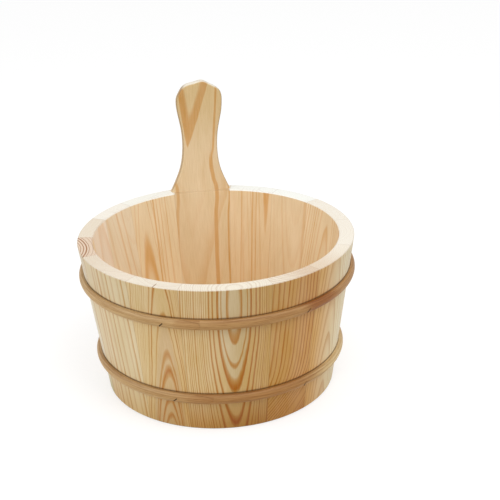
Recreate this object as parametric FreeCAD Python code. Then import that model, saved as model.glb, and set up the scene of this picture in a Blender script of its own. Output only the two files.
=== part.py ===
"""A wooden piggin: a coopered pine tub with one long stave that rises above the rim as its handle.

Millimetres and degrees. The origin is on the tub's axis, on the plane that it stands on.
+Z is up and +Y points from the axis to the handle. Angles are counted from the front, -Y,
and grow to the right as seen from the front.
"""
import FreeCAD
import Part
import math
import os

# The tub
tub_height = 147.4
rim_radius = 130.0
foot_radius = 110.0
wall_thickness = 14.1
rim_inner_chamfer = 0.9
rim_outer_chamfer = 0.5
foot_chamfer = 1.0
handle_stave_width = 64.6
stave_width_shares = (1.03, 0.82, 0.86, 0.84, 1.22, 0.87, 1.43, 0.87, 1.06, 1.14, 1.10, 0.87, 0.89)

# The handle, the part of its stave above the rim
handle_height = 112.9
handle_head_width = 46.3
handle_waist_width = 35.1
handle_root_width = 61.2
handle_setback = 0.8
handle_edge_radius = 1.8
handle_root_depth = 20.0
handle_cant_degrees = 1.85
flare_shares = ((-0.03, 1.20), (0.03, 0.873), (0.089, 0.631), (0.181, 0.297), (0.273, 0.10))
neck_shares = ((0.408, 0.0), (0.55, 0.178), (0.643, 0.523), (0.736, 0.888), (0.807, 1.0))
crown_shares = (
    (0.985, 0.872),
    (0.86, 0.925),
    (0.62, 0.956),
    (0.38, 0.982),
    (0.19, 0.999),
    (-0.20, 0.984),
    (-0.52, 0.968),
    (-0.72, 0.941),
    (-0.87, 0.893),
    (-0.965, 0.855),
)

# The bottom and its groove in the staves
groove_height = 17.0
groove_width = 6.0
groove_depth = 4.0
bottom_thickness = 11.0
bottom_bevel_width = 14.0
bottom_clearance = 0.3
board_width_shares = (0.23, 0.28, 0.26, 0.23)
dowel_radius = 3.0
dowel_length = 30.0
dowel_chamfer = 0.6
dowel_side_clearance = 0.1
dowel_end_clearance = 1.0
dowel_spread_share = 0.55

# The hoops
hoop_height = 9.5
hoop_thickness = 5.0
hoop_edge_thickness = 2.4
hoop_clearance = 0.3
upper_hoop_height = 113.9
lower_hoop_height = 34.6
scarf_length = 40.0
scarf_kerf = 0.25
scarf_tip_thickness = 0.5
upper_scarf_tip_degrees = -14.0
lower_scarf_tip_degrees = -10.3

# The staples that hold the hoops
staples_per_hoop = 6
staple_crown = 4.5
staple_wire_width = 1.0
staple_wire_thickness = 0.6
staple_leg = 10.0
staple_sink = 0.35
staple_drop = 1.2
staple_inset = 6.4
staple_slant_degrees = 42.0
slit_clearance = 0.1

# One overrun serves every cut
overrun = 5.0

UP = FreeCAD.Vector(0, 0, 1)
RIGHT = FreeCAD.Vector(1, 0, 0)
BACK = FreeCAD.Vector(0, 1, 0)
ORIGIN = FreeCAD.Vector(0, 0, 0)
FULL_TURN = 360.0
BEHIND = FULL_TURN / 2

wall_slope = (rim_radius - foot_radius) / tub_height
wall_lean_degrees = math.degrees(math.atan(wall_slope))
handle_stave_degrees = math.degrees(2 * math.asin(handle_stave_width / (2 * rim_radius)))
groove_radius = foot_radius + wall_slope * (groove_height + groove_width) - wall_thickness + groove_depth


def outer_radius(z):
    """The outside of the wall at height z, carried on above the rim at the same slope."""
    return foot_radius + wall_slope * z


def inner_radius(z):
    """The inside of the wall at height z."""
    return outer_radius(z) - wall_thickness


def around(degrees, radius, z):
    """A point at an angle from the front, at a distance from the tub's axis."""
    a = math.radians(degrees)
    return FreeCAD.Vector(radius * math.sin(a), -radius * math.cos(a), z)


def turned(outline, start_degrees, span_degrees):
    """The solid that an outline of (radius, height) points makes on the lathe, over one span."""
    points = [around(start_degrees, r, z) for r, z in outline]
    face = Part.Face(Part.makePolygon(points + points[:1]))
    return face.revolve(ORIGIN, UP, span_degrees)


def wall_outline():
    """The section of a stave's wall: chamfered foot and rim, and the groove for the bottom."""
    groove_top = groove_height + groove_width
    rim_shoulder = tub_height - rim_inner_chamfer
    rim_edge = tub_height - rim_outer_chamfer
    return [
        (outer_radius(foot_chamfer), foot_chamfer),
        (outer_radius(0) - foot_chamfer, 0),
        (inner_radius(0) + foot_chamfer, 0),
        (inner_radius(foot_chamfer), foot_chamfer),
        (inner_radius(groove_height), groove_height),
        (groove_radius, groove_height),
        (groove_radius, groove_top),
        (inner_radius(groove_top), groove_top),
        (inner_radius(rim_shoulder), rim_shoulder),
        (inner_radius(tub_height) + rim_inner_chamfer, tub_height),
        (outer_radius(tub_height) - rim_outer_chamfer, tub_height),
        (outer_radius(rim_edge), rim_edge),
    ]


def stave_spans():
    """The start and span of each plain stave, from one side of the handle stave round to the other."""
    pitch = (FULL_TURN - handle_stave_degrees) / sum(stave_width_shares)
    start = BEHIND + handle_stave_degrees / 2
    spans = []
    for share in stave_width_shares:
        spans.append((start, share * pitch))
        start += share * pitch
    return spans


def handle_outline():
    """The handle's outline in its own flat plane: x across, z up along the board, zero at the rim."""
    head = handle_head_width / 2
    waist = handle_waist_width / 2
    root = handle_root_width / 2
    side = [(waist + share * (root - waist), height * handle_height) for height, share in flare_shares]
    side += [(waist + share * (head - waist), height * handle_height) for height, share in neck_shares]
    crown = [(across * head, height * handle_height) for across, height in crown_shares]
    points = side + crown + [(-x, z) for x, z in reversed(side)]
    curve = Part.BSplineCurve()
    curve.interpolate([FreeCAD.Vector(x, 0, z) for x, z in points])
    right_foot = FreeCAD.Vector(side[0][0], 0, -handle_root_depth)
    left_foot = FreeCAD.Vector(-side[0][0], 0, -handle_root_depth)
    return Part.Wire(
        [
            curve.toShape(),
            Part.makeLine(curve.EndPoint, left_foot),
            Part.makeLine(left_foot, right_foot),
            Part.makeLine(right_foot, curve.StartPoint),
        ]
    )


def wall_room(start, span):
    """The space under the cone of the wall's outside, from the handle's root to over its top."""
    low = tub_height - handle_root_depth - overrun
    high = tub_height + handle_height + overrun
    return turned([(0, low), (outer_radius(low), low), (outer_radius(high), high), (0, high)], start, span)


def handle_board():
    """The handle: flat in front, turned with the wall's cone behind, its two long edges rounded."""
    board = Part.Face(handle_outline()).extrude(BACK * (wall_thickness + overrun))
    board.rotate(ORIGIN, BACK, handle_cant_degrees)
    board.rotate(ORIGIN, RIGHT, -wall_lean_degrees)
    board.translate(FreeCAD.Vector(0, inner_radius(tub_height) + handle_setback, tub_height))
    board = board.common(wall_room(BEHIND - handle_stave_degrees, 2 * handle_stave_degrees))
    long_edges = [edge for edge in board.Edges if edge.Length > 2 * handle_height]
    return board.makeFillet(handle_edge_radius, long_edges)


def plain_stave(start, span):
    """One mitred stave of the wall."""
    return turned(wall_outline(), start, span)


def handle_stave():
    """The stave that carries the handle, which is kept between the stave's two joints."""
    start = BEHIND - handle_stave_degrees / 2
    board = handle_board().common(wall_room(start, handle_stave_degrees))
    return plain_stave(start, handle_stave_degrees).fuse(board).removeSplitter()


def hoop_section(z_middle):
    """The hoop's section: flat against the wall, bulging outside."""
    low = z_middle - hoop_height / 2
    high = z_middle + hoop_height / 2

    def seat(z):
        return outer_radius(z) + hoop_clearance

    corners = [
        around(0, seat(low), low),
        around(0, seat(low) + hoop_edge_thickness, low),
        around(0, seat(high) + hoop_edge_thickness, high),
        around(0, seat(high), high),
    ]
    bulge = Part.Arc(corners[1], around(0, seat(z_middle) + hoop_thickness, z_middle), corners[2])
    return Part.Wire(
        [
            Part.makeLine(corners[0], corners[1]),
            bulge.toShape(),
            Part.makeLine(corners[2], corners[3]),
            Part.makeLine(corners[3], corners[0]),
        ]
    )


def scarf_span_degrees(z_middle):
    """The angle that the hoop's scarf joint covers."""
    return math.degrees(scarf_length / outer_radius(z_middle))


def scarf_cut(z_middle, tip_degrees):
    """The thin cut between the hoop's two tapered ends, with a blunt step at each tip."""
    low = z_middle - hoop_height
    start = tip_degrees - scarf_span_degrees(z_middle)
    middle = (start + tip_degrees) / 2
    seat = outer_radius(z_middle) + hoop_clearance
    inner = seat + scarf_tip_thickness
    outer = seat + hoop_thickness - scarf_tip_thickness
    near = [(start, inner), (middle, (inner + outer) / 2), (tip_degrees, outer)]
    far = [(degrees, radius + scarf_kerf) for degrees, radius in near]
    near_arc = Part.Arc(*[around(degrees, radius, low) for degrees, radius in near])
    far_arc = Part.Arc(*[around(degrees, radius, low) for degrees, radius in far])
    sheet = Part.Wire(
        [
            near_arc.toShape(),
            Part.makeLine(near_arc.EndPoint, far_arc.EndPoint),
            far_arc.toShape(),
            Part.makeLine(far_arc.StartPoint, near_arc.StartPoint),
        ]
    )
    cut = Part.Face(sheet).extrude(UP * (2 * hoop_height))
    step_degrees = math.degrees(scarf_kerf / seat)
    inside = [(seat - overrun, low), (inner + scarf_kerf, low)]
    outside = [(outer, low), (seat + hoop_thickness + overrun, low)]
    for first, ends in ((start, inside), (tip_degrees - step_degrees, outside)):
        tall = [(radius, z + 2 * hoop_height) for radius, z in reversed(ends)]
        cut = cut.fuse(turned(ends + tall, first, step_degrees))
    return cut


def hoop_face(z_middle, z):
    """The radius of the hoop's bulging outside at height z."""
    bulge = 1 - (2 * (z - z_middle) / hoop_height) ** 2
    edge = outer_radius(z) + hoop_clearance + hoop_edge_thickness
    return edge + (hoop_thickness - hoop_edge_thickness) * bulge


def staple_degrees(z_middle, tip_degrees):
    """The angles of one hoop's staples: the first holds the start of the scarf."""
    inset = math.degrees(staple_inset / outer_radius(z_middle))
    first = tip_degrees - scarf_span_degrees(z_middle) + inset
    return [first + i * FULL_TURN / staples_per_hoop for i in range(staples_per_hoop)]


def staple_piece(outline, z_middle, degrees):
    """A bent-wire shape of (across, depth) points, set at a slant into the hoop at one angle."""
    points = [FreeCAD.Vector(across, depth, -staple_wire_width / 2) for across, depth in outline]
    piece = Part.Face(Part.makePolygon(points + points[:1])).extrude(UP * staple_wire_width)
    piece.rotate(ORIGIN, BACK, -staple_slant_degrees)
    piece.rotate(ORIGIN, RIGHT, -wall_lean_degrees)
    z = z_middle - staple_drop
    piece.translate(FreeCAD.Vector(0, staple_sink - hoop_face(z_middle, z), z))
    piece.rotate(ORIGIN, UP, degrees)
    return piece


def staple_outline():
    """The staple's crown and two legs."""
    half = staple_crown / 2
    leg = half - staple_wire_thickness
    return [
        (-half, 0),
        (half, 0),
        (half, staple_leg),
        (leg, staple_leg),
        (leg, staple_wire_thickness),
        (-leg, staple_wire_thickness),
        (-leg, staple_leg),
        (-half, staple_leg),
    ]


def slit_outline():
    """The slit that the crown has pressed into the hoop."""
    half = staple_crown / 2 + slit_clearance
    return [(-half, -overrun), (half, -overrun), (half, 0), (-half, 0)]


def hoop_with_staples(z_middle, tip_degrees):
    """One hoop, split at its scarf and slit by its staples, and the staples."""
    angles = staple_degrees(z_middle, tip_degrees)
    staples = [staple_piece(staple_outline(), z_middle, a) for a in angles]
    slits = [staple_piece(slit_outline(), z_middle, a) for a in angles]
    ring = Part.Face(hoop_section(z_middle)).revolve(ORIGIN, UP, FULL_TURN)
    hoop = ring.cut(scarf_cut(z_middle, tip_degrees)).cut(staples + slits)
    return hoop, staples


def bottom_disc():
    """The whole bottom: its edge is bevelled underneath to the thin tongue that sits in the groove."""
    top = groove_height + groove_width
    under = top - bottom_thickness
    rim = groove_radius - bottom_clearance
    tongue = inner_radius(groove_height) - bottom_clearance
    outline = [
        (0, under),
        (rim - bottom_bevel_width, under),
        (tongue, groove_height),
        (rim, groove_height),
        (rim, top),
        (0, top),
    ]
    return turned(outline, 0, FULL_TURN)


def board_edges():
    """The x of each edge of the bottom's boards, from one side to the other."""
    edges = [-groove_radius]
    for share in board_width_shares:
        edges.append(edges[-1] + share * 2 * groove_radius / sum(board_width_shares))
    return edges


def dowel_middles():
    """The middle of each dowel: two across every joint between bottom boards."""
    z = groove_height + groove_width - bottom_thickness / 2
    middles = []
    for x in board_edges()[1:-1]:
        reach = math.sqrt(groove_radius**2 - x**2) * dowel_spread_share
        middles += [FreeCAD.Vector(x, -reach, z), FreeCAD.Vector(x, reach, z)]
    return middles


def dowel(middle):
    """One dowel with chamfered ends, lying across a joint."""
    start = middle - RIGHT * (dowel_length / 2)
    pin = Part.makeCylinder(dowel_radius, dowel_length, start, RIGHT)
    ends = [edge for edge in pin.Edges if isinstance(edge.Curve, Part.Circle)]
    return pin.makeChamfer(dowel_chamfer, ends)


def dowel_hole(middle):
    """The bore for one dowel, half in each board."""
    length = dowel_length + 2 * dowel_end_clearance
    start = middle - RIGHT * (length / 2)
    return Part.makeCylinder(dowel_radius + dowel_side_clearance, length, start, RIGHT)


def bottom_boards():
    """The boards of the bottom, sawn from the disc along straight joints and bored for the dowels."""
    disc = bottom_disc().cut([dowel_hole(middle) for middle in dowel_middles()])
    edges = board_edges()
    boards = []
    for left, right in zip(edges[:-1], edges[1:]):
        corner = FreeCAD.Vector(left, -groove_radius, 0)
        slab = Part.makeBox(right - left, 2 * groove_radius, tub_height, corner)
        boards.append(disc.common(slab))
    return boards


def single(shape):
    """The one solid of a boolean's result."""
    solids = shape.Solids
    if len(solids) != 1:
        raise ValueError("expected one solid, found %d" % len(solids))
    return solids[0]


def write(name, shape):
    """Write one sub-part to its own STEP file."""
    shape.exportStep(os.path.join("parts", name + ".step"))


def main():
    os.makedirs("parts", exist_ok=True)
    upper_hoop, upper_staples = hoop_with_staples(upper_hoop_height, upper_scarf_tip_degrees)
    lower_hoop, lower_staples = hoop_with_staples(lower_hoop_height, lower_scarf_tip_degrees)
    staples = upper_staples + lower_staples

    for number, (start, span) in enumerate(stave_spans(), 1):
        write("stave_%02d" % number, single(plain_stave(start, span).cut(staples)))
    write("handle_stave", single(handle_stave().cut(staples)))
    write("upper_hoop", single(upper_hoop))
    write("lower_hoop", single(lower_hoop))
    write("upper_hoop_staples", Part.Compound(upper_staples))
    write("lower_hoop_staples", Part.Compound(lower_staples))
    for number, board in enumerate(bottom_boards(), 1):
        write("bottom_board_%d" % number, single(board))
    write("bottom_dowels", Part.Compound([dowel(middle) for middle in dowel_middles()]))


if __name__ == "__main__":
    main()
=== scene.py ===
"""The looks of a wooden piggin: bare pine staves, bent hoops, wire staples, and the stage that it stands on.

The packed model holds every piece at its real size. This file gives each one its wood or metal: growth rings
that run through the solid wood, with the cathedral figures of the real staves, fibres and end grain. Sizes
in the grain are in millimetres, and lengths of the scene in metres, in the frame of the model.
"""

import math
import random
from dataclasses import dataclass

import bpy
from bpy.props import FloatProperty, FloatVectorProperty, PointerProperty
from mathutils import Matrix, Vector


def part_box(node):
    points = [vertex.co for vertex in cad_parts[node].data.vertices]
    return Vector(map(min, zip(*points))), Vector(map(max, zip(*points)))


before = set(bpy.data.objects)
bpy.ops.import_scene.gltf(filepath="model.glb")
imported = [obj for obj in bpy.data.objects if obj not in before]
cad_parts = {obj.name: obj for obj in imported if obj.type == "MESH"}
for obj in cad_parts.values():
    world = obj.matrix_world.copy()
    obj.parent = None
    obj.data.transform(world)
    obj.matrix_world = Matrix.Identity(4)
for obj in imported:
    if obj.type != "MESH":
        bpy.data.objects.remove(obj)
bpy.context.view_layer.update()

bl_info = {
    "name": "Wooden piggin",
    "version": (1, 0, 0),
    "blender": (4, 5, 0),
    "location": "View3D > Sidebar > Piggin",
    "description": "Pine, hoop wood and staple wire for a coopered piggin, and its stage",
    "category": "Material",
}

MM = 0.001
DEGREE = math.pi / 180
FULL_TURN = 2 * math.pi

STAVES = sorted(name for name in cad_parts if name.startswith("stave_"))
BOARDS = sorted(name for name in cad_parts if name.startswith("bottom_board_"))
HOOPS = ("upper_hoop", "lower_hoop")


def srgb(red, green, blue):
    """A colour written as it is seen, from 0 to 255, as the linear colour that shaders take."""
    seen = (red / 255, green / 255, blue / 255)
    return tuple(c / 12.92 if c <= 0.04045 else ((c + 0.055) / 1.055) ** 2.4 for c in seen)


# The frame's own sizes

WALL_THICKNESS = 14.1
FOOT_BAND = 5 * MM


def polar(point):
    """A point's angle from the front, growing to the right, its distance from the axis, and its height."""
    return math.atan2(point.x, -point.y), math.hypot(point.x, point.y), point.z


def wall_cone():
    """The radius of the tub's outside at the foot's height, and its growth with each unit of height."""
    low = Vector((0.0, math.inf))
    high = Vector((0.0, 0.0))
    for name in STAVES:
        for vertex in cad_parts[name].data.vertices:
            _, radius, height = polar(vertex.co)
            if height < FOOT_BAND and radius > low.x:
                low = Vector((radius, height))
            if radius > high.x:
                high = Vector((radius, height))
    slope = (high.x - low.x) / (high.y - low.y)
    return low.x - slope * low.y, slope


def stave_span(name):
    """The angle of a stave's middle, and half of the angle that it takes up."""
    first = polar(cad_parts[name].data.vertices[0].co)[0]
    angles = []
    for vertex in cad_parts[name].data.vertices:
        turn = (polar(vertex.co)[0] - first + math.pi) % FULL_TURN - math.pi
        angles.append(first + turn)
    low, high = min(angles), max(angles)
    return (low + high) / 2, (high - low) / 2


foot_radius, wall_slope = wall_cone()
rim_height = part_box(STAVES[0])[1].z


# How each stave is sawn

PLAIN = (1, 1, 1)


@dataclass
class Figure:
    """The growth rings of one board, as they show on its best face. Across grows to the right.

    A ring crosses the middle of the figure at its tip height, and its two arms run from there down the
    board where points_up is true, and up it where it is false. course gives the places (height, across)
    that the middle passes through. pith is how far behind the face the tree's middle lies at the foot.
    Between the two heights of turn the arms straighten and turn back. heart_tint colours the wood inside
    the ring whose tip is heart_tip. check is the place across of a drying crack in the end grain. Each of
    rings is (tip height, thickness, darkness), and each of streaks, which run along the course, is (place
    across, width, darkness). low_streaks are streaks that end part of the way up a handle.
    """

    face: str = "outside"
    points_up: bool = True
    course: tuple = ((0.0, 0.0), (150.0, 0.0))
    slope: float = 24.0
    roundness: float = 900.0
    arch: float = 0.0
    pith: float = 35.0
    pith_side: float = 1.0
    left_stretch: float = 1.0
    right_stretch: float = 1.0
    turn: tuple = (300.0, 400.0)
    ring_width: float = 1.3
    contrast: float = 0.75
    heart_tint: tuple = ()
    heart_tip: float = 0.0
    check: float = 0.0
    tint: tuple = PLAIN
    right_tint: tuple = ()
    # Each stave's tint of the painted shade at the foot
    painted_foot_shade_tint: tuple = PLAIN
    inner_tint: tuple = PLAIN
    end_tint: tuple = PLAIN
    right_end_tint: tuple = ()
    end_contrast: float = 0.25
    rings: tuple = ()
    streaks: tuple = ()
    low_streaks: tuple = ()
    seed: float = 0.0


RING_FIELDS = (
    "slope", "roundness", "left_stretch", "right_stretch", "pith", "pith_side", "ring_width", "seed",
)

FIGURES = {
    "stave_01": Figure(
        face="inside", course=((0, -12.5), (107, -11.1), (150, -11)), slope=20, roundness=290, pith=30,
        ring_width=1.9, contrast=0.3, inner_tint=(1, 1.02, 1.03), end_tint=(1.04, 1.09, 1.14),
        rings=((107.5, 42, 0.5), (168, 9, 0.3), (215, 12, 0.3)),
        streaks=((13, 2.4, 0.5), (16.5, 1.8, 0.35), (20.5, 1.8, 0.35), (26.5, 1.8, 0.35)), seed=1,
    ),
    # stave_02's inside tint partly paints light onto the shaded inner wall at the left
    "stave_02": Figure(
        face="inside", course=((0, 26), (60, 22), (150, 14)), points_up=False, pith=22, ring_width=4,
        contrast=0.2, right_tint=(1, 1.06, 1.15), inner_tint=(1, 1.07, 1.2), end_tint=(1.02, 1.03, 1.05),
        streaks=((-15, 4, 0.35), (-7, 3, 0.3), (-32, 6, 0.25)), seed=2,
    ),
    # stave_03's inside tint partly paints light onto the shaded inner wall at the left; its outside tints
    # fade into stave_04's painted highlight
    "stave_03": Figure(
        face="inside", course=((0, 6), (150, 10)), ring_width=3.2, contrast=0.3, tint=(1, 1.06, 1.15),
        right_tint=(1.02, 1.22, 1.6), inner_tint=(1.05, 1.14, 1.42), end_tint=(0.91, 0.86, 0.8), seed=3,
    ),
    # stave_04's pale outside tint is painted light: the highlight of the strong light at the left
    "stave_04": Figure(
        course=((0, 0), (150, 0.5)), slope=20, roundness=760, pith=14, pith_side=-1, ring_width=2.6,
        contrast=0.4, tint=(1.03, 1.32, 1.95), painted_foot_shade_tint=(0.82, 0.89, 0.79), end_tint=(0.86, 0.73, 0.64),
        end_contrast=1.5, rings=((192, 10, 0.7), (238, 16, 0.8), (289, 24, 1), (330, 12, 0.8)), seed=4,
    ),
    "stave_05": Figure(
        points_up=False, course=((0, -24), (150, -24)), slope=80, pith=26, ring_width=1.9,
        tint=(1, 1.17, 1.47), right_tint=(1.04, 1.22, 1.48), painted_foot_shade_tint=(1, 0.97, 0.88),
        end_tint=(0.88, 0.82, 0.75), right_end_tint=(0.93, 0.88, 0.83), end_contrast=0.4,
        streaks=((9, 7, 0.16), (25.5, 5, 0.28)), seed=5,
    ),
    "stave_06": Figure(
        course=((0, 3.4), (14, 4), (66, 7.7), (82, 7.9), (150, 10)), roundness=873, pith=30,
        right_stretch=1.42, ring_width=0.95, contrast=0.7, heart_tint=(0.92, 0.9, 0.96), heart_tip=122,
        check=2.4, tint=(1.03, 1.13, 1.18), right_tint=(0.99, 1, 0.92), painted_foot_shade_tint=(0.97, 0.96, 0.93),
        end_tint=(0.95, 0.93, 0.89), end_contrast=0.4,
        rings=(
            (13.7, 7, 0.7), (33, 9, 0.85), (66, 14, 0.85), (82.5, 10, 0.62), (122, 8, 0.5), (164, 11, 0.9),
            (190, 12, 0.5),
        ),
        seed=6,
    ),
    "stave_07": Figure(
        points_up=False, course=((0, 5.9), (66, 5.6), (92, 6.3), (150, 7.2)), roundness=980, pith=19.1,
        turn=(78, 132), ring_width=1.5, contrast=0.95, heart_tint=(1, 1.11, 1.4), heart_tip=34,
        tint=(1.04, 1.12, 1.15), right_tint=(0.84, 0.77, 0.55), painted_foot_shade_tint=(0.78, 0.63, 0.38),
        end_tint=(0.96, 0.94, 0.9), end_contrast=0.3,
        rings=(
            (104, 6, 0), (90.7, 9, 0.65), (66.5, 6, 0.6), (41, 16, 1), (3.5, 12, 1), (-33, 16, 0.9),
            (-60, 8, 0.6), (-86, 7, 0.6),
        ),
        seed=7,
    ),
    "stave_08": Figure(
        course=((0, 0), (20, 17), (30, 25), (38, 30), (48, 33.5), (60, 35.5), (75, 36.5), (150, 37)),
        slope=70, roundness=1500, pith=14, ring_width=2.2, contrast=1, tint=(0.82, 0.69, 0.46),
        right_tint=(0.84, 0.66, 0.43), painted_foot_shade_tint=(0.94, 0.9, 0.84), end_tint=(0.93, 0.88, 0.82),
        right_end_tint=(0.82, 0.7, 0.6), end_contrast=0.5, seed=8,
    ),
    "stave_09": Figure(
        course=((0, 2), (150, -4)), pith=40, ring_width=1.7, contrast=0.6, tint=(0.97, 0.86, 0.68),
        right_tint=(1.18, 1.5, 2.05), painted_foot_shade_tint=(1.08, 1.15, 1.3), inner_tint=(0.95, 0.95, 0.95),
        end_tint=(0.86, 0.76, 0.67), right_end_tint=(0.98, 0.96, 0.93), seed=9,
    ),
    "stave_10": Figure(
        course=((0, -3), (150, 2)), points_up=False, roundness=1000, pith=45, ring_width=1.8, contrast=0.6,
        tint=(1.17, 1.5, 2.1), right_tint=(1, 1.07, 1.15), painted_foot_shade_tint=(1.08, 1.15, 1.3),
        inner_tint=(0.97, 0.98, 0.98), seed=10,
    ),
    "stave_12": Figure(
        face="inside", course=((0, 8), (150, 8)), points_up=False, ring_width=2.4, contrast=0.3,
        inner_tint=(0.95, 0.95, 0.95), end_tint=(1.06, 1.14, 1.23), streaks=((13, 9, 0.3),), seed=12,
    ),
    "stave_13": Figure(
        face="inside", course=((0, 15.9), (150, 15.9)), points_up=False, slope=30, roundness=110, pith=9,
        ring_width=1.5, contrast=0.35, inner_tint=(0.94, 0.91, 0.87), end_tint=(1.06, 1.14, 1.23),
        rings=((114.5, 60, 0.5),), streaks=((-14.5, 2, 0.45), (-10.5, 1.6, 0.4), (-26, 1.6, 0.4)), seed=13,
    ),
    "handle_stave": Figure(
        face="inside", points_up=False,
        course=(
            (0, -12.5), (120, -11.5), (147, -9.3), (160, -12), (178, -13.8), (190, -11.8), (210, -9.6),
            (250, -5.6),
        ),
        slope=4.3, roundness=6, arch=0.3, pith=34, pith_side=0, left_stretch=1.1, right_stretch=0.92,
        ring_width=3.6, contrast=0.32, inner_tint=(0.915, 0.9, 0.865), rings=((195, 34, 1),),
        streaks=((26, 2.5, 1), (38, 2.4, 0.7), (-15.5, 5, 0.4)), low_streaks=((25.2, 5.2, 0.75),), seed=14,
    ),
}


def unseen_figure(name):
    """A stave that shows nothing remarkable: flat or rift sawn, with its figure anywhere across it."""
    dice = random.Random(name)
    middle = dice.uniform(-12, 12)
    return Figure(
        points_up=dice.random() < 0.5, course=((0, middle), (150, middle + dice.uniform(-6, 6))),
        roundness=dice.uniform(800, 1200), pith=dice.uniform(30, 60), ring_width=dice.uniform(1.5, 2.1),
        contrast=dice.uniform(0.6, 0.8), inner_tint=(0.97, 0.98, 0.98), seed=dice.uniform(20, 90),
    )


def board_figure(name, number):
    """A bottom board, whose trunk lay from front to back."""
    dice = random.Random(name)
    return Figure(
        points_up=number % 2 == 0, course=((-150, dice.uniform(-12, 12)), (150, dice.uniform(-12, 12))),
        roundness=dice.uniform(800, 1200), pith=dice.uniform(40, 70), ring_width=dice.uniform(1.3, 1.9),
        contrast=0.6, seed=dice.uniform(100, 200),
    )


@dataclass
class Strip:
    """The bent strip of one hoop. Its angles are in degrees from the front, growing to the right.

    tip is where its lapped end stops. redness_and_shade is its share of the red side's colour, opposite that
    side and on it; the red side is partly redder wood and partly painted shade. From rise to fall, each from
    where that change starts to where it is complete, it takes side_tone too, and loses the share bleach of
    its redness_and_shade.
    """

    seed: float
    tip: float
    redness_and_shade: tuple
    side_tone: tuple
    rise: tuple
    fall: tuple
    bleach: float


STRIPS = {
    # The upper hoop's side_tone is partly redder wood and partly a painted cast shadow
    "upper_hoop": Strip(
        seed=3, tip=-14, redness_and_shade=(0, 0.75), side_tone=(0.74, 0.51, 0.29), rise=(28, 35), fall=(54, 42),
        bleach=0,
    ),
    "lower_hoop": Strip(
        seed=10, tip=-10.3, redness_and_shade=(0.18, 1), side_tone=(1.25, 1.4, 1.55), rise=(27, 56), fall=(160, 100),
        bleach=1,
    ),
}
RED_AND_SHADED_SIDE = 40 * DEGREE


# What a user may change


def tone(name, description, default):
    """A colour that a user may change."""
    return FloatVectorProperty(
        name=name, description=description, subtype="COLOR", size=3, min=0, max=1, default=default
    )


def setting(name, description, default, low=0, high=1, **kind):
    """A number that a user may change."""
    return FloatProperty(name=name, description=description, default=default, min=low, max=high, **kind)


def bearing(name, description, degrees):
    """An angle that a user may change."""
    return FloatProperty(
        name=name, description=description, subtype="ANGLE", unit="ROTATION", default=degrees * DEGREE
    )


class PigginWood(bpy.types.PropertyGroup):
    """The pine of the staves and the bottom."""

    early: tone("Early wood", "Colour of the pale spring growth outside", srgb(236, 202, 150))
    late: tone("Late wood", "Colour of the summer growth between the pale bands", srgb(212, 160, 100))
    deep: tone("Deep late wood", "Colour of the darkest, most resinous bands", srgb(195, 122, 54))
    inner_early: tone(
        "Inner early wood", "Colour of the pale spring growth on the inner faces", srgb(236, 213, 176)
    )
    inner_late: tone(
        "Inner late wood", "Colour of the darkest bands on the inner faces", srgb(221, 177, 121)
    )
    end: tone("End grain", "Colour of the sanded end grain on the rim", srgb(236, 229, 215))
    end_late: tone("End grain rings", "Colour of the rings on the end grain", srgb(158, 106, 66))
    rim_shade: tone("Rim shade", "What the wood's colour is multiplied by under the rim", (0.93, 0.94, 0.96))
    handle_shade: tone(
        "Handle shade", "What the wood's colour is multiplied by at the handle's top", (0.84, 0.79, 0.63)
    )
    # Painted shade: the outside grows darker and warmer towards the foot, where less light reaches
    painted_foot_shade: tone("Foot shade", "What the wood's colour is multiplied by at the foot", (0.86, 0.76, 0.6))
    roughness: setting("Roughness", "Roughness of the sanded faces", 0.55, subtype="FACTOR")
    relief: setting(
        "Relief", "Height of the raised grain", 0.00006, high=0.001,
        subtype="DISTANCE", unit="LENGTH", precision=6,
    )


class PigginHoop(bpy.types.PropertyGroup):
    """The bent wood of the hoops."""

    pale: tone("Pale fibres", "Colour between the dark fibres", srgb(238, 204, 146))
    dark: tone("Dark fibres", "Colour of the dark fibres", srgb(193, 149, 90))
    # Multiplies the hoops round at the right, partly as redder wood and partly as painted shade, and the
    # lap's tip
    red: tone("Red and shaded side", "What the colour is multiplied by round at the right", (0.75, 0.55, 0.35))
    # Painted shade: each hoop grows darker towards its upper edge
    top: tone("Painted top shade", "What the colour is multiplied by at a hoop's upper edge", (0.65, 0.62, 0.62))
    roughness: setting("Roughness", "Roughness of the hoops", 0.5, subtype="FACTOR")


class PigginStaple(bpy.types.PropertyGroup):
    """The wire of the staples."""

    wire: tone("Wire", "Colour of the dull wire", srgb(82, 62, 40))
    rust: tone("Stain", "Colour of the stain on the wire", srgb(58, 40, 24))


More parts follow.
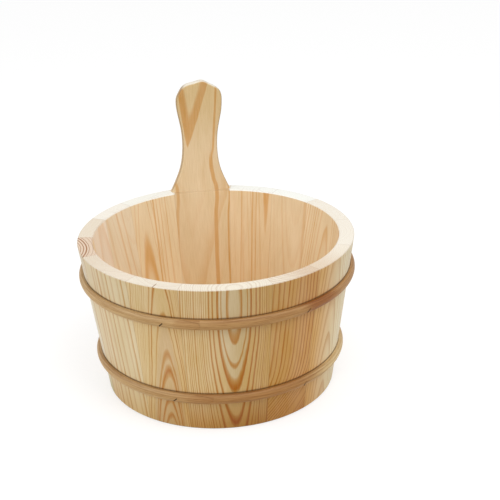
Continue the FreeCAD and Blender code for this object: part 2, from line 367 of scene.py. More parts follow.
class PigginStage(bpy.types.PropertyGroup):
    """The floor, the light and the camera."""

    floor: tone("Floor", "Colour of the floor as the camera sees it", (0.45, 0.45, 0.45))
    floor_glow: setting("Floor glow", "White that the floor adds for the camera alone", 0.62)
    floor_bounce: tone("Floor bounce", "Colour of the floor as it lights the tub", (0.42, 0.39, 0.34))
    ambient: setting("Ambient", "Strength of the light from all round", 0.77, high=5)
    key_power: setting("Side light", "Power of the soft light at the left", 3.8, high=200, unit="POWER")
    key_azimuth: bearing("Side azimuth", "Angle of the side light from the front, growing to the right", -75)
    key_elevation: bearing("Side elevation", "Angle of the side light above the horizon", 25)
    top_power: setting(
        "High light", "Power of the soft light high at the right", 6.1, high=200, unit="POWER"
    )
    top_azimuth: bearing("High azimuth", "Angle of the high light from the front, growing to the right", 30)
    top_elevation: bearing("High elevation", "Angle of the high light above the horizon", 60)
    lamp_size: setting("Lamp size", "Width of both soft lights", 0.9, 0.05, 5, unit="LENGTH")
    lamp_distance: setting(
        "Lamp distance", "Distance of both soft lights from the tub", 1.35, 0.3, 10, unit="LENGTH"
    )
    camera_azimuth: bearing(
        "Camera azimuth", "Angle of the camera from the front, growing to the right", -8.3
    )
    camera_elevation: bearing("Camera elevation", "Angle of the camera above the horizon", 23.148)
    camera_roll: bearing("Camera roll", "Turn of the camera about its own line of sight", -1.58)
    camera_distance: setting(
        "Camera distance", "Distance from the camera to what it looks at", 1.1, 0.2, 10, unit="LENGTH"
    )
    camera_target: FloatVectorProperty(
        name="Camera target", description="Point that the camera looks at", subtype="TRANSLATION",
        unit="LENGTH", size=3, default=(0.03130, -0.00457, 0.12823),
    )
    lens: setting("Lens", "Focal length of the camera in millimetres", 83.45, 10, 300)


# Nodes


def join(tree, node, sockets):
    """Give each of a node's sockets a value, or link it to another node's output."""
    for key, value in sockets.items():
        socket = node.inputs[key]
        if isinstance(value, bpy.types.NodeSocket):
            tree.links.new(value, socket)
        elif socket.type == "RGBA":
            socket.default_value = (*value[:3], 1.0)
        else:
            socket.default_value = value


def put(tree, kind, sockets=None, **settings):
    """Add a node with its settings and its sockets."""
    node = tree.nodes.new(kind)
    for name, value in settings.items():
        setattr(node, name, value)
    join(tree, node, sockets or {})
    return node


def calc(tree, operation, *values):
    """The result of a sum on numbers."""
    return put(tree, "ShaderNodeMath", dict(enumerate(values)), operation=operation).outputs[0]


def plus(tree, first, second):
    """Two numbers together."""
    return calc(tree, "ADD", first, second)


def minus(tree, first, second):
    """What the second number leaves of the first."""
    return calc(tree, "SUBTRACT", first, second)


def times(tree, first, *others):
    """The product of several numbers."""
    for other in others:
        first = calc(tree, "MULTIPLY", first, other)
    return first


def scaled(tree, value, factor, extra):
    """A number times another, and a third on top."""
    return calc(tree, "MULTIPLY_ADD", value, factor, extra)


def swing(tree, wave, reach, middle=0.0):
    """Noise about one half, as a number about another middle."""
    return scaled(tree, minus(tree, wave, 0.5), reach, middle)


def vector_of(tree, *axes):
    """A vector from three numbers."""
    return put(tree, "ShaderNodeCombineXYZ", dict(enumerate(axes))).outputs[0]


def axes_of(tree, vector):
    """The three numbers of a vector."""
    return put(tree, "ShaderNodeSeparateXYZ", {0: vector}).outputs


def object_place(tree):
    """A point's place in the frame."""
    return put(tree, "ShaderNodeTexCoord").outputs["Object"]


def true_normal(tree):
    """The way that the surface faces."""
    return put(tree, "ShaderNodeNewGeometry").outputs["True Normal"]


def turned_about(tree, vector, angle):
    """A vector turned about the tub's axis."""
    sockets = {"Vector": vector, "Angle": angle}
    return put(tree, "ShaderNodeVectorRotate", sockets, rotation_type="Z_AXIS").outputs[0]


def fade(tree, value, start, end, low=0.0, high=1.0):
    """A smooth change from low to high while value goes from start to end."""
    sockets = {"Value": value, "From Min": start, "From Max": end, "To Min": low, "To Max": high}
    return put(tree, "ShaderNodeMapRange", sockets, interpolation_type="SMOOTHSTEP").outputs[0]


def share_of(tree, value, low, high):
    """How much of the way from low to high a value has gone."""
    return put(tree, "ShaderNodeMapRange", {"Value": value, "From Min": low, "From Max": high}).outputs[0]


def between(tree, share, first, second):
    """A number between two others."""
    return put(tree, "ShaderNodeMix", {0: share, 2: first, 3: second}).outputs[0]


def mixed(tree, share, first, second):
    """A colour between two others."""
    return put(tree, "ShaderNodeMix", {0: share, 6: first, 7: second}, data_type="RGBA").outputs[2]


def multiplied(tree, colour, factor, share):
    """A colour times another, by a share."""
    sockets = {0: share, 6: colour, 7: factor}
    return put(tree, "ShaderNodeMix", sockets, data_type="RGBA", blend_type="MULTIPLY").outputs[2]


def varied(tree, colour, value, saturation=1.0):
    """A colour made lighter or darker, and duller or stronger."""
    sockets = {"Color": colour, "Value": value, "Saturation": saturation}
    return put(tree, "ShaderNodeHueSaturation", sockets).outputs[0]


def noise(tree, vector, scale=1.0, detail=2.0, roughness=0.5):
    """Soft noise about one half."""
    sockets = {"Vector": vector, "Scale": scale, "Detail": detail, "Roughness": roughness}
    return put(tree, "ShaderNodeTexNoise", sockets).outputs[0]


def grain(tree, place, scales, seed, detail, roughness=0.5):
    """Noise in a piece of wood, with one scale each for across, depth and height."""
    axes = [times(tree, place[axis], scale) for axis, scale in zip(PLACE, scales)]
    axes[0] = plus(tree, axes[0], seed)
    return noise(tree, vector_of(tree, *axes), detail=detail, roughness=roughness)


def ramp_of(tree, value, reach, stops):
    """A number that follows a colour ramp through the given (place, shade) stops."""
    low, high = reach
    ramp = put(tree, "ShaderNodeValToRGB", {0: share_of(tree, value, low, high)})
    elements = ramp.color_ramp.elements
    elements[0].position, elements[1].position = 0.0, 1.0
    elements[0].color = elements[1].color = (0.0, 0.0, 0.0, 1.0)
    for place, shade in sorted(stops):
        position = min(max((place - low) / (high - low), 0.0), 1.0)
        elements.new(position).color = (shade, shade, shade, 1.0)
    return ramp.outputs[0]


# Shared effects

NUMBER = "NodeSocketFloat"
COLOUR = "NodeSocketColor"
WHITE = (1.0, 1.0, 1.0, 1.0)
PLACE = {"Across": 0.0, "Depth": 0.0, "Height": 0.0}

# Scales of noise for each millimetre across, deep and high, and how far it moves the rings
WANDER_SCALES = (0.035, 0.035, 0.012)
WANDER_REACH = 2.6
RIPPLE_SCALES = (0.16, 0.16, 0.05)
RIPPLE_REACH = 1.1
RIPPLE_RISE = 4.0
FIBRE_SCALES = (1.7, 1.7, 0.06)
BLUSH_SCALES = (0.05, 0.05, 0.014)
PORE_SCALE = 1.1

# Where a ring's left arm turns into its right one
ARMS_MEET = (-4, 4)

# The course of one year, as shares of its growth, and how uneven the years are
ONSET = 0.35
ONSET_SWING = 0.3
LATE_PEAK = 0.9
LATE_SHARPNESS = 1.2
UNEVEN_SCALE = 0.37
UNEVEN_YEARS = 1.8
PALEST_YEAR = 0.4

# How much late wood turns early colour to late, and late to deep
TO_LATE = (0, 0.6)
TO_DEEP = (0.5, 1)

# How far fibres, blushes and pores move the wood's lightness and the strength of its colour
FIBRE_LIGHT = 0.3
FIBRE_STRENGTH = -0.4
BLUSH_LIGHT = 0.22
BLUSH_STRENGTH = -0.3
PORE_LIGHT = 0.4
PORE_STRENGTH = -2.6
END_RINGS = 0.9

# What late wood, end grain and fibres add to the roughness and the relief
LATE_ROUGHNESS = -0.1
END_ROUGHNESS = 0.2
FIBRE_ROUGHNESS = 0.2
LATE_RELIEF = 0.5


def new_group(name, inputs, outputs):
    """A node group with inputs of the given defaults and outputs of the given kinds, and its two ends."""
    group = bpy.data.node_groups.new(name, "ShaderNodeTree")
    for label, default in inputs.items():
        kind = COLOUR if default == WHITE else NUMBER
        socket = group.interface.new_socket(label, in_out="INPUT", socket_type=kind)
        socket.default_value = default
    for label, kind in outputs.items():
        group.interface.new_socket(label, in_out="OUTPUT", socket_type=kind)
    given = group.nodes.new("NodeGroupInput").outputs
    return group, given, group.nodes.new("NodeGroupOutput")


def use_group(tree, name, sockets):
    """Place a node group in a material."""
    return put(tree, "ShaderNodeGroup", sockets, node_tree=bpy.data.node_groups[name]).outputs


def ring_numbers(figure):
    """The numbers of a figure that shape its growth rings, by the labels of their sockets."""
    return {field.replace("_", " ").title(): getattr(figure, field) for field in RING_FIELDS}


def build_stave_place():
    """Where a point lies in its stave: across and along it, how deep, and how far from the next stave."""
    tree, given, out = new_group(
        "stave_place",
        {"Middle": 0.0, "Half Width": math.pi},
        {"Across": NUMBER, "Depth": NUMBER, "Height": NUMBER, "Edge": NUMBER},
    )
    turned = turned_about(tree, object_place(tree), times(tree, given["Middle"], -1))
    right, back, up = axes_of(tree, turned)
    angle = calc(tree, "ARCTAN2", right, times(tree, back, -1))
    squares = scaled(tree, right, right, times(tree, back, back))
    radius = calc(tree, "DIVIDE", calc(tree, "SQRT", squares), MM)
    height = calc(tree, "DIVIDE", up, MM)
    wall = scaled(tree, height, wall_slope, foot_radius / MM)
    room = minus(tree, given["Half Width"], calc(tree, "ABSOLUTE", angle))
    results = {
        "Across": times(tree, angle, radius),
        "Depth": minus(tree, wall, radius),
        "Height": height,
        "Edge": times(tree, room, radius),
    }
    join(tree, out, results)


def build_growth_rings():
    """How far a point lies from the tree's middle, and the plain run of late wood there."""
    tree, given, out = new_group(
        "growth_rings",
        {**PLACE, "Outward": 1.0, "Arch": 0.3, **ring_numbers(Figure)},
        {"Radius": NUMBER, "Late Wood": NUMBER},
    )
    seed = given["Seed"]
    wander = grain(tree, given, WANDER_SCALES, seed, detail=3)
    ripple = grain(tree, given, RIPPLE_SCALES, seed, detail=2)
    drift = swing(tree, ripple, RIPPLE_REACH, swing(tree, wander, WANDER_REACH))
    across = plus(tree, given["Across"], drift)
    side = fade(tree, across, *ARMS_MEET)
    stretch = between(tree, side, given["Left Stretch"], given["Right Stretch"])
    run = times(tree, across, stretch, given["Slope"])
    squares = plus(tree, times(tree, run, run), times(tree, given["Roundness"], given["Roundness"]))
    fall = minus(tree, calc(tree, "SQRT", squares), given["Roundness"])

    core = times(tree, given["Pith"], given["Pith"])
    rise = calc(tree, "DIVIDE", times(tree, given["Height"], given["Outward"]), given["Arch"])
    behind = calc(tree, "SQRT", calc(tree, "MAXIMUM", plus(tree, rise, core), 1))
    twice = times(tree, behind, given["Pith Side"], 2)
    deep = times(tree, given["Depth"], minus(tree, given["Depth"], twice))
    fall = swing(tree, ripple, RIPPLE_RISE, scaled(tree, deep, given["Arch"], fall))
    spread = calc(tree, "DIVIDE", fall, given["Arch"])
    square = plus(tree, plus(tree, rise, spread), core)
    radius = calc(tree, "SQRT", calc(tree, "MAXIMUM", square, 0))

    years = calc(tree, "DIVIDE", radius, given["Ring Width"])
    uneven = noise(tree, vector_of(tree, times(tree, years, UNEVEN_SCALE), seed, 0), detail=1)
    years = scaled(tree, uneven, UNEVEN_YEARS, years)
    season = calc(tree, "FRACT", years)
    chance = put(
        tree, "ShaderNodeTexWhiteNoise",
        {"Vector": vector_of(tree, calc(tree, "FLOOR", years), seed, 0.0)},
        noise_dimensions="3D",
    ).outputs
    onset = swing(tree, chance[0], ONSET_SWING, ONSET)
    grown = calc(tree, "POWER", fade(tree, season, onset, LATE_PEAK), LATE_SHARPNESS)
    late = times(tree, grown, fade(tree, season, 1, LATE_PEAK))
    depth = put(tree, "ShaderNodeSeparateColor", {0: chance[1]}).outputs[1]
    darkness = scaled(tree, depth, 1.0 - PALEST_YEAR, PALEST_YEAR)
    join(tree, out, {"Radius": radius, "Late Wood": times(tree, late, darkness)})


def build_pine_finish():
    """Pine's colour, roughness and relief from its late wood: fibres, blushes, pores and end grain."""
    colours = ("Early Colour", "Late Colour", "Deep Colour", "End Colour", "End Late Colour")
    tree, given, out = new_group(
        "pine_finish",
        {
            **PLACE, "Late Wood": 0.0, "End Late Wood": 0.0, **dict.fromkeys(colours, WHITE),
            "End Grain": 0.0, "Roughness": 0.55, "Seed": 0.0,
        },
        {"Colour": COLOUR, "Roughness": NUMBER, "Relief": NUMBER},
    )
    late = given["Late Wood"]
    seed = given["Seed"]
    body = mixed(tree, fade(tree, late, *TO_LATE), given["Early Colour"], given["Late Colour"])
    body = mixed(tree, fade(tree, late, *TO_DEEP), body, given["Deep Colour"])
    fibre = grain(tree, given, FIBRE_SCALES, seed, detail=3, roughness=0.6)
    blush = grain(tree, given, BLUSH_SCALES, seed, detail=2)
    light = swing(tree, blush, BLUSH_LIGHT, swing(tree, fibre, FIBRE_LIGHT, 1))
    strength = swing(tree, blush, BLUSH_STRENGTH, swing(tree, fibre, FIBRE_STRENGTH, 1))
    body = varied(tree, body, light, strength)

    pores = vector_of(
        tree,
        scaled(tree, given["Across"], PORE_SCALE, seed),
        times(tree, given["Depth"], PORE_SCALE),
        seed,
    )
    pores = noise(tree, pores, detail=4, roughness=0.7)
    rings = times(tree, given["End Late Wood"], END_RINGS)
    ends = mixed(tree, rings, given["End Colour"], given["End Late Colour"])
    ends = varied(tree, ends, swing(tree, pores, PORE_LIGHT, 1), swing(tree, pores, PORE_STRENGTH, 1))

    rough = swing(tree, fibre, FIBRE_ROUGHNESS, scaled(tree, late, LATE_ROUGHNESS, given["Roughness"]))
    rough = scaled(tree, given["End Grain"], END_ROUGHNESS, rough)
    results = {
        "Colour": mixed(tree, given["End Grain"], body, ends),
        "Roughness": rough,
        "Relief": scaled(tree, late, LATE_RELIEF, fibre),
    }
    join(tree, out, results)


# Sawn pine. Each pair is where a change starts and where it is complete

OUTER_FACE = (1.5, 0.5)
INNER_FACE = (4, 10)
NEAR_FACE = (8, 4)
END_FACES = (0.45, 0.75)
UNDER_RIM = (100, 128)
# Heights over which the painted shade at the foot comes in
PAINTED_FOOT_SHADE_HEIGHTS = (46, -6)
LOW_STREAKS = (200, 165)

# Painted shadow, with dirt, in a dark line just above each hoop where it meets the wall
HOOP_SHADOW_AND_DIRT_RISE = 0.2
HOOP_SHADOW_AND_DIRT_LINE = (1.7, 0.3)
HOOP_SHADOW_AND_DIRT_SHARE = 0.75
HOOP_SHADOW_AND_DIRT_BROWN = srgb(104, 66, 30)
JOINT_LINE = (0.55, 0.1)
JOINT_SHARE_INSIDE = 0.14
JOINT_SHARE_OUTSIDE = 0.26
JOINT_SHARE_ON_ENDS = 0.24
JOINT_BROWN = srgb(140, 98, 54)
CHECK_LINE = (0.7, 0.2)
CHECK_DEPTH = (9, 5)
CHECK_SHARE = 0.8
CHECK_BROWN = srgb(132, 88, 48)

HANDLE_TOP = (180, 250)
HANDLE_ENDS_SPARED = 0.85
# Painted shade on the handle's left and right faces: how far they turn aside, and from what height
HANDLE_PAINTED_SHADE_FACING = (0.35, 0.8)
HANDLE_PAINTED_SHADE_ABOVE = (147, 150)
HANDLE_PAINTED_SIDE_SHADE = (0.66, 0.6, 0.52)
# The ledge at the handle's root, painted as shade: where it lies, and how much darker it is
LEDGE_SIDES = (29.5, 27.5)
LEDGE_TOP = (190, 155)
LEDGE_PAINTED_SHADE = (0.78, 0.72, 0.66)

# A ring's soft edge, as a share of its thickness up to one millimetre
RING_EDGE = 0.3
RING_CURVE = 0.7
STREAK_CORE = 0.4
WOOD_GLOSS = 0.35


def written_rings(tree, radius, figure, arch, outward):
    """The listed rings, where they hold, and the heart: sharp at their outer edge, soft inside."""

    def distance(tip):
        return math.sqrt(max(outward * tip / arch + figure.pith ** 2, 0))

    stops = []
    for tip, thickness, darkness in figure.rings:
        outer = distance(tip)
        inner = distance(tip - outward * thickness)
        soft = RING_EDGE * min(outer - inner, 1)
        stops += [(inner, 0), (outer - soft, darkness), (outer + soft, 0)]
    margin = figure.ring_width
    low, high = min(stops)[0] - margin, max(stops)[0] + margin
    late = calc(tree, "POWER", ramp_of(tree, radius, (low, high), stops), RING_CURVE)
    holds = times(tree, fade(tree, radius, low, low + margin), fade(tree, radius, high, high - margin))
    edge = distance(figure.heart_tip)
    return late, holds, fade(tree, radius, edge, edge - margin)


def written_streaks(tree, across, streaks):
    """The listed straight dark streaks."""
    stops = []
    for middle, width, darkness in streaks:
        half = width / 2
        core = STREAK_CORE * half
        stops += [(middle - half, 0), (middle - core, darkness)]
        stops += [(middle + core, darkness), (middle + half, 0)]
    return ramp_of(tree, across, (min(stops)[0] - 1, max(stops)[0] + 1), stops)


def follow_course(tree, height, course):
    """Where a figure's middle runs at each height."""
    low, high = course[0][0], course[-1][0]
    side = max(abs(across) for _, across in course) + 1.0
    curve = put(tree, "ShaderNodeFloatCurve", {"Value": share_of(tree, height, low, high)})
    points = curve.mapping.curves[0].points
    places = [((z - low) / (high - low), 0.5 + across / (2 * side)) for z, across in course]
    points[0].location, points[1].location = places[0], places[-1]
    for place in places[1:-1]:
        points.new(*place)
    curve.mapping.update()
    return swing(tree, curve.outputs[0], 2 * side)


def figured_wood(tree, place, figure):
    """The late wood of a board, and its heart."""
    outward = 1.0 if figure.points_up else -1.0
    arch = figure.arch or figure.slope ** 2 / (2 * figure.roundness)
    across, depth, height = (place[axis] for axis in PLACE)
    if figure.face == "inside":
        across = times(tree, across, -1)
        depth = minus(tree, WALL_THICKNESS, depth)
    across = minus(tree, across, follow_course(tree, height, figure.course))
    start, top = figure.turn
    past = calc(tree, "MAXIMUM", minus(tree, height, start), 0)
    turned = scaled(tree, times(tree, past, past), -0.5 / (top - start), height)
    sockets = {"Across": across, "Depth": depth, "Height": turned, "Outward": outward, "Arch": arch}
    rings = use_group(tree, "growth_rings", sockets | ring_numbers(figure))
    late = times(tree, rings["Late Wood"], figure.contrast)
    heart = None
    if figure.rings:
        written, holds, heart = written_rings(tree, rings["Radius"], figure, arch, outward)
        late = between(tree, holds, late, written)
    if figure.streaks:
        streaks = written_streaks(tree, across, figure.streaks)
        if figure.low_streaks:
            low = written_streaks(tree, across, figure.low_streaks)
            streaks = calc(tree, "MAXIMUM", streaks, times(tree, low, fade(tree, height, *LOW_STREAKS)))
        near_face = fade(tree, calc(tree, "ABSOLUTE", depth), *NEAR_FACE)
        late = calc(tree, "MAXIMUM", late, times(tree, streaks, near_face))
    return late, heart


def end_grain_mask(tree):
    """One on faces that cut across the trunk, zero on faces along it."""
    upright = calc(tree, "ABSOLUTE", axes_of(tree, true_normal(tree))[2])
    return fade(tree, upright, *END_FACES)


def new_material(name):
    """An empty material, its tree and its surface shader."""
    material = bpy.data.materials.new(name)
    material.use_nodes = True
    tree = material.node_tree
    return material, tree, tree.nodes["Principled BSDF"]


def finish_surface(tree, shader, roughness, relief, depth, gloss):
    """Give a surface its roughness, its relief of a certain depth, and its gloss."""
    bump = put(tree, "ShaderNodeBump", {"Height": relief, "Distance": depth}).outputs[0]
    join(tree, shader, {"Roughness": roughness, "Normal": bump, "Specular IOR Level": gloss})


def dress(node, material):
    """Give a piece its one material."""
    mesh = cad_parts[node].data
    mesh.materials.clear()
    mesh.materials.append(material)


def tinted(colour, tint):
    """A colour made a little darker or warmer for one board."""
    return [min(1, part * share) for part, share in zip(colour, tint)]


def joints_and_painted_shade(tree, colour, spot, ends, wood, painted_foot_shade_tint):
    """Joint lines between staves, painted shadow and dirt above hoops, painted shade at the foot, darker
    under the rim.
    """
    height = spot["Height"]
    outer = fade(tree, calc(tree, "ABSOLUTE", spot["Depth"]), *OUTER_FACE)
    hoop_shadow_and_dirt = 0.0
    # Painted shadow and dirt in a line just above each hoop
    for hoop in HOOPS:
        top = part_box(hoop)[1].z / MM
        line = calc(tree, "ABSOLUTE", minus(tree, height, top + HOOP_SHADOW_AND_DIRT_RISE))
        hoop_shadow_and_dirt = plus(tree, fade(tree, line, *HOOP_SHADOW_AND_DIRT_LINE), hoop_shadow_and_dirt)
    colour = mixed(tree, times(tree, hoop_shadow_and_dirt, outer, HOOP_SHADOW_AND_DIRT_SHARE), colour, HOOP_SHADOW_AND_DIRT_BROWN)
    share = between(tree, outer, JOINT_SHARE_INSIDE, JOINT_SHARE_OUTSIDE)
    share = calc(tree, "MAXIMUM", share, times(tree, ends, JOINT_SHARE_ON_ENDS))
    joints = times(tree, fade(tree, spot["Edge"], *JOINT_LINE), share)
    colour = mixed(tree, joints, colour, JOINT_BROWN)
    colour = multiplied(tree, colour, wood.rim_shade, times(tree, fade(tree, height, *UNDER_RIM), outer))
    # Painted shade towards the foot, outside
    foot = times(tree, fade(tree, height, *PAINTED_FOOT_SHADE_HEIGHTS), outer)
    return multiplied(tree, colour, tinted(wood.painted_foot_shade, painted_foot_shade_tint), foot)


def checked(tree, colour, spot, ends, place):
    """A drying crack across the outer part of a stave's end grain."""
    line = calc(tree, "ABSOLUTE", minus(tree, spot["Across"], place))
    crack = times(tree, fade(tree, line, *CHECK_LINE), fade(tree, spot["Depth"], *CHECK_DEPTH))
    return mixed(tree, times(tree, crack, ends, CHECK_SHARE), colour, CHECK_BROWN)


def handle_ledge(tree, spot, ends):
    """One on the narrow ledge at the handle's root, painted as shade in the colour of the face below it."""
    before = fade(tree, calc(tree, "ABSOLUTE", spot["Across"]), *LEDGE_SIDES)
    return times(tree, ends, before, fade(tree, spot["Height"], *LEDGE_TOP))


def handled(tree, colour, middle, height, ends, handle_shade):
    """The handle above the rim: more golden towards its top, with painted shade on its left and right faces.
    """
    golden = scaled(tree, ends, -HANDLE_ENDS_SPARED, 1)
    golden = times(tree, fade(tree, height, *HANDLE_TOP), golden)
    colour = multiplied(tree, colour, handle_shade, golden)
    aside = calc(tree, "ABSOLUTE", axes_of(tree, turned_about(tree, true_normal(tree), -middle))[0])
    painted_side_shade = times(tree, fade(tree, aside, *HANDLE_PAINTED_SHADE_FACING), fade(tree, height, *HANDLE_PAINTED_SHADE_ABOVE))
    return multiplied(tree, colour, HANDLE_PAINTED_SIDE_SHADE, painted_side_shade)


def finished_pine(tree, shader, place, wood, seed, sockets):
    """Pine's colour, with its roughness and relief joined to the surface shader."""
    sockets = {"End Late Colour": wood.end_late, "Roughness": wood.roughness, "Seed": seed, **sockets}
    finish = use_group(tree, "pine_finish", sockets | {axis: place[axis] for axis in PLACE})
    finish_surface(tree, shader, finish["Roughness"], finish["Relief"], wood.relief, WOOD_GLOSS)
    return finish["Colour"]


def stave_material(name, figure, wood):
    """The pine of one stave."""
    material, tree, shader = new_material("pine_" + name)
    middle, half_width = stave_span(name)
    spot = use_group(tree, "stave_place", {"Middle": middle, "Half Width": half_width})
    late, heart = figured_wood(tree, spot, figure)
    inner = fade(tree, spot["Depth"], *INNER_FACE)
    ends = end_grain_mask(tree)
    if name == "handle_stave":
        ledge = handle_ledge(tree, spot, ends)
        ends = minus(tree, ends, ledge)
    half = half_width * foot_radius / MM
    aside = fade(tree, spot["Across"], -half, half)

    def across_from(colour, left, right):
        return mixed(tree, aside, tinted(colour, left), tinted(colour, right or left))

    def outside(colour):
        return across_from(colour, figure.tint, figure.right_tint)

    early = mixed(tree, inner, outside(wood.early), tinted(wood.inner_early, figure.inner_tint))
    if figure.heart_tint:
        early = multiplied(tree, early, figure.heart_tint, heart)
    inner_late = tinted(wood.inner_late, figure.inner_tint)
    sockets = {
        "Late Wood": late,
        "End Late Wood": times(tree, late, figure.end_contrast),
        "Early Colour": early,
        "Late Colour": mixed(tree, inner, outside(wood.late), inner_late),
        "Deep Colour": mixed(tree, inner, outside(wood.deep), inner_late),
        "End Colour": across_from(wood.end, figure.end_tint, figure.right_end_tint),
        "End Grain": ends,
    }
    colour = finished_pine(tree, shader, spot, wood, figure.seed, sockets)
    if figure.check:
        colour = checked(tree, colour, spot, ends, figure.check)
    colour = joints_and_painted_shade(tree, colour, spot, ends, wood, figure.painted_foot_shade_tint)
    if name == "handle_stave":
        colour = handled(tree, colour, middle, spot["Height"], ends, wood.handle_shade)
        # Painted shade on the ledge at the handle's root
        colour = multiplied(tree, colour, LEDGE_PAINTED_SHADE, ledge)
    join(tree, shader, {"Base Color": colour})
    return material


def board_material(name, number, wood):
    """The pine of one bottom board."""
    figure = board_figure(name, number)
    low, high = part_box(name)
    material, tree, shader = new_material("pine_" + name)
    right, back, up = axes_of(tree, object_place(tree))
    place = {
        "Across": calc(tree, "DIVIDE", minus(tree, right, (low.x + high.x) / 2), MM),
        "Depth": calc(tree, "DIVIDE", minus(tree, high.z, up), MM),
        "Height": calc(tree, "DIVIDE", back, MM),
    }
    late, _ = figured_wood(tree, place, figure)
    sockets = {
        "Late Wood": late,
        "Early Colour": wood.inner_early,
        "Late Colour": wood.inner_late,
        "Deep Colour": wood.late,
        "End Colour": wood.end,
    }
    colour = finished_pine(tree, shader, place, wood, figure.seed, sockets)
    join(tree, shader, {"Base Color": colour})
    return material


# Bent hoops and their staples

STRIP_FIBRES = (0.02, 0.9, 0.9)
STRIP_FINE_FIBRES = (0.12, 4, 4)
STRIP_FINE_SHARE = 0.5
STRIP_BLUSH = 0.012
STRIP_BLUSH_LIGHT = 0.3
STRIP_DARK = (0.3, 0.72)
STRIP_RED_AND_SHADE = (0.1, 0.9)
STRIP_ROUGHNESS = 0.25
STRIP_RELIEF = 0.08 * MM
STRIP_GLOSS = 0.4
LAP_LINE = (26, 22)
LAP_REDNESS = 0.3
WIRE_GLOSS = 0.2

# The wire's stain: its scale, where it colours, and where it turns roughness and metal from what to what
STAIN_SCALE = 900
STAIN_COLOURS = (0.4, 0.65)
STAIN_ROUGHNESS = (0.2, 0.8, 0.35, 0.7)
STAIN_METAL = (0.45, 0.7, 0.35, 0)


def hoop_material(name, strip, hoop):
    """The bent strip of one hoop, whose fibres break off at the tip of its lapped end."""
    material, tree, shader = new_material("strip_" + name)
    place = use_group(tree, "stave_place", {"Middle": strip.tip * DEGREE + math.pi})
    across = place["Across"]
    fibre = grain(tree, place, STRIP_FIBRES, strip.seed, detail=4, roughness=0.65)
    fine = grain(tree, place, STRIP_FINE_FIBRES, strip.seed, detail=2)
    along = scaled(tree, across, STRIP_BLUSH, strip.seed)
    blush = noise(tree, vector_of(tree, along, 0, strip.seed), detail=1)
    amount = swing(tree, fine, STRIP_FINE_SHARE, fibre)
    colour = mixed(tree, fade(tree, amount, *STRIP_DARK), hoop.pale, hoop.dark)
    colour = varied(tree, colour, swing(tree, blush, STRIP_BLUSH_LIGHT, 1))

    low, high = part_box(name)
    radius = high.x
    # The red side: partly redder wood, partly painted shade
    aim = direction(RED_AND_SHADED_SIDE, 0) / radius
    towards = put(
        tree, "ShaderNodeVectorMath", {0: object_place(tree), 1: aim}, operation="DOT_PRODUCT"
    ).outputs["Value"]
    turn = scaled(tree, across, MM / (radius * DEGREE), strip.tip + 180.0)
    side = times(tree, fade(tree, turn, *strip.rise), fade(tree, turn, *strip.fall))
    red = fade(tree, towards, *STRIP_RED_AND_SHADE, *strip.redness_and_shade)
    red = times(tree, red, scaled(tree, side, -strip.bleach, 1))
    colour = multiplied(tree, colour, hoop.red, red)
    colour = multiplied(tree, colour, strip.side_tone, side)
    tip_place = math.pi * radius / MM
    start, end = LAP_LINE
    lapped = fade(tree, across, tip_place - start, tip_place - end, 0, LAP_REDNESS)
    colour = multiplied(tree, colour, hoop.red, lapped)
    # Painted shade towards the hoop's upper edge
    colour = multiplied(tree, colour, hoop.top, fade(tree, place["Height"], low.z / MM, high.z / MM))

    join(tree, shader, {"Base Color": colour})
    rough = swing(tree, fine, STRIP_ROUGHNESS, hoop.roughness)
    finish_surface(tree, shader, rough, amount, STRIP_RELIEF, STRIP_GLOSS)
    return material


def wire_material(staple):
    """Dull steel wire with a brown stain."""
    material, tree, shader = new_material("staple_wire")
    stain = noise(tree, object_place(tree), scale=STAIN_SCALE, detail=3)
    sockets = {
        "Base Color": mixed(tree, fade(tree, stain, *STAIN_COLOURS), staple.wire, staple.rust),
        "Roughness": fade(tree, stain, *STAIN_ROUGHNESS),
        "Metallic": fade(tree, stain, *STAIN_METAL),
        "Specular IOR Level": WIRE_GLOSS,
    }
    join(tree, shader, sockets)
    return material


# The stage

FLOOR_WIDTH = 40.0
FLOOR_ROUGHNESS = 0.9
SENSOR_WIDTH = 36.0


def direction(azimuth, elevation):
    """The unit vector from the tub towards an angle from the front and above the horizon."""
    flat = math.cos(elevation)
    return Vector((math.sin(azimuth) * flat, -math.cos(azimuth) * flat, math.sin(elevation)))


def seen_rays(tree):
    """One for what is seen, directly or as a gloss, and zero for light on its way."""
    path = put(tree, "ShaderNodeLightPath").outputs
    beyond = calc(tree, "MAXIMUM", path["Is Glossy Ray"], path["Is Transmission Ray"])
    return calc(tree, "MAXIMUM", path["Is Camera Ray"], beyond)


def lay_floor(stage):
    """A wide pale floor under the tub, white to the camera apart from the tub's shadow."""
    bpy.ops.mesh.primitive_plane_add(size=FLOOR_WIDTH, location=(0, 0, 0))
    floor = bpy.context.object
    floor.name = "floor"
    material, tree, shader = new_material("pale_floor")
    seen = seen_rays(tree)
    sockets = {
        "Base Color": mixed(tree, seen, stage.floor_bounce, stage.floor),
        "Roughness": FLOOR_ROUGHNESS,
        "Specular IOR Level": 0.0,
        "Emission Strength": times(tree, seen, stage.floor_glow),
        "Emission Color": WHITE,
    }
    join(tree, shader, sockets)
    floor.data.materials.append(material)


def light_world(scene, stage):
    """A white backdrop for the camera and for gloss, and a softer light on everything else."""
    world = bpy.data.worlds.new("soft_room")
    scene.world = world
    world.use_nodes = True
    tree = world.node_tree
    strength = between(tree, seen_rays(tree), stage.ambient, 1)
    join(tree, tree.nodes["Background"], {"Strength": strength, "Color": WHITE})


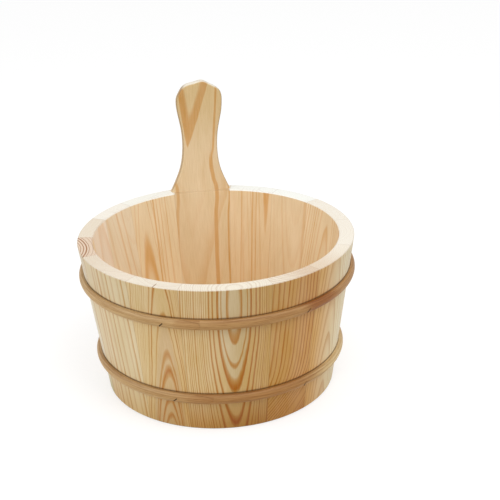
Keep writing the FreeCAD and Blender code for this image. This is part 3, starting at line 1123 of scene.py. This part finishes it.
def hang_lamp(name, power, azimuth, elevation, stage):
    """One large soft light, aimed at the tub."""
    lamp = bpy.data.lights.new(name, "AREA")
    lamp.energy = power
    lamp.shape = "DISK"
    lamp.size = stage.lamp_size
    hung = bpy.data.objects.new(name, lamp)
    bpy.context.scene.collection.objects.link(hung)
    aim = direction(azimuth, elevation)
    hung.location = Vector((0, 0, rim_height / 2)) + aim * stage.lamp_distance
    hung.rotation_mode = "QUATERNION"
    hung.rotation_quaternion = aim.to_track_quat("Z", "Y")


def place_camera(scene, stage):
    """The camera at the photograph's viewing angle."""
    lens = bpy.data.cameras.new("camera")
    lens.lens = stage.lens
    lens.sensor_width = SENSOR_WIDTH
    camera = bpy.data.objects.new("camera", lens)
    scene.collection.objects.link(camera)
    back = direction(stage.camera_azimuth, stage.camera_elevation)
    right = Vector((0, 0, 1)).cross(back).normalized()
    up = back.cross(right)
    cosine, sine = math.cos(stage.camera_roll), math.sin(stage.camera_roll)
    turned = Matrix((cosine * right + sine * up, cosine * up - sine * right, back)).transposed()
    place = Vector(stage.camera_target) + back * stage.camera_distance
    camera.matrix_world = Matrix.Translation(place) @ turned.to_4x4()
    scene.camera = camera


# Operators


class PIGGIN_OT_effects(bpy.types.Operator):
    """Build the shared grain effects that the wooden pieces use"""

    bl_idname = "piggin.effects"
    bl_label = "Grain effects"

    def execute(self, context):
        build_stave_place()
        build_growth_rings()
        build_pine_finish()
        return {"FINISHED"}


class PIGGIN_OT_staves(bpy.types.Operator):
    """Give each plain stave its own sawn pine"""

    bl_idname = "piggin.staves"
    bl_label = "Staves"

    def execute(self, context):
        for name in STAVES:
            figure = FIGURES.get(name) or unseen_figure(name)
            dress(name, stave_material(name, figure, context.scene.piggin_wood))
        return {"FINISHED"}


class PIGGIN_OT_handle(bpy.types.Operator):
    """Give the handle stave its pine, from its foot to the handle's crown"""

    bl_idname = "piggin.handle"
    bl_label = "Handle stave"

    def execute(self, context):
        name = "handle_stave"
        dress(name, stave_material(name, FIGURES[name], context.scene.piggin_wood))
        return {"FINISHED"}


class PIGGIN_OT_bottom(bpy.types.Operator):
    """Give the bottom boards and their dowels their pine"""

    bl_idname = "piggin.bottom"
    bl_label = "Bottom"

    def execute(self, context):
        wood = context.scene.piggin_wood
        for number, name in enumerate(BOARDS):
            dress(name, board_material(name, number, wood))
        dress("bottom_dowels", board_material("bottom_dowels", 0, wood))
        return {"FINISHED"}


class PIGGIN_OT_hoops(bpy.types.Operator):
    """Give both hoops their bent wood"""

    bl_idname = "piggin.hoops"
    bl_label = "Hoops"

    def execute(self, context):
        for name in HOOPS:
            dress(name, hoop_material(name, STRIPS[name], context.scene.piggin_hoop))
        return {"FINISHED"}


class PIGGIN_OT_staples(bpy.types.Operator):
    """Give the staples their dull wire"""

    bl_idname = "piggin.staples"
    bl_label = "Staples"

    def execute(self, context):
        material = wire_material(context.scene.piggin_staple)
        for hoop in HOOPS:
            dress(hoop + "_staples", material)
        return {"FINISHED"}


class PIGGIN_OT_stage(bpy.types.Operator):
    """Lay the pale floor, hang the two soft lights and set up the camera"""

    bl_idname = "piggin.stage"
    bl_label = "Stage"

    def execute(self, context):
        stage = context.scene.piggin_stage
        lay_floor(stage)
        light_world(context.scene, stage)
        hang_lamp("side_light", stage.key_power, stage.key_azimuth, stage.key_elevation, stage)
        hang_lamp("high_light", stage.top_power, stage.top_azimuth, stage.top_elevation, stage)
        place_camera(context.scene, stage)
        context.scene.view_settings.view_transform = "Standard"
        return {"FINISHED"}


class PIGGIN_PT_panel(bpy.types.Panel):
    """The piggin's pieces and finishes"""

    bl_idname = "PIGGIN_PT_panel"
    bl_label = "Piggin"
    bl_space_type = "VIEW_3D"
    bl_region_type = "UI"
    bl_category = "Piggin"

    def draw(self, context):
        for operator in STEPS:
            self.layout.operator(operator.bl_idname)
        for name, group in SETTINGS.items():
            box = self.layout.box()
            box.label(text=group.__doc__)
            for key in group.__annotations__:
                box.prop(getattr(context.scene, name), key)


SETTINGS = {
    "piggin_wood": PigginWood,
    "piggin_hoop": PigginHoop,
    "piggin_staple": PigginStaple,
    "piggin_stage": PigginStage,
}
STEPS = (
    PIGGIN_OT_effects, PIGGIN_OT_staves, PIGGIN_OT_handle, PIGGIN_OT_bottom, PIGGIN_OT_hoops,
    PIGGIN_OT_staples, PIGGIN_OT_stage,
)
CLASSES = (*SETTINGS.values(), *STEPS, PIGGIN_PT_panel)


def register():
    for group in CLASSES:
        bpy.utils.register_class(group)
    for name, group in SETTINGS.items():
        setattr(bpy.types.Scene, name, PointerProperty(type=group))


def unregister():
    for name in SETTINGS:
        delattr(bpy.types.Scene, name)
    for group in reversed(CLASSES):
        bpy.utils.unregister_class(group)


def main():
    """Dress every piece and set the stage."""
    register()
    bpy.ops.piggin.effects()
    bpy.ops.piggin.staves()
    bpy.ops.piggin.handle()
    bpy.ops.piggin.bottom()
    bpy.ops.piggin.hoops()
    bpy.ops.piggin.staples()
    bpy.ops.piggin.stage()


if __name__ == "__main__":
    main()
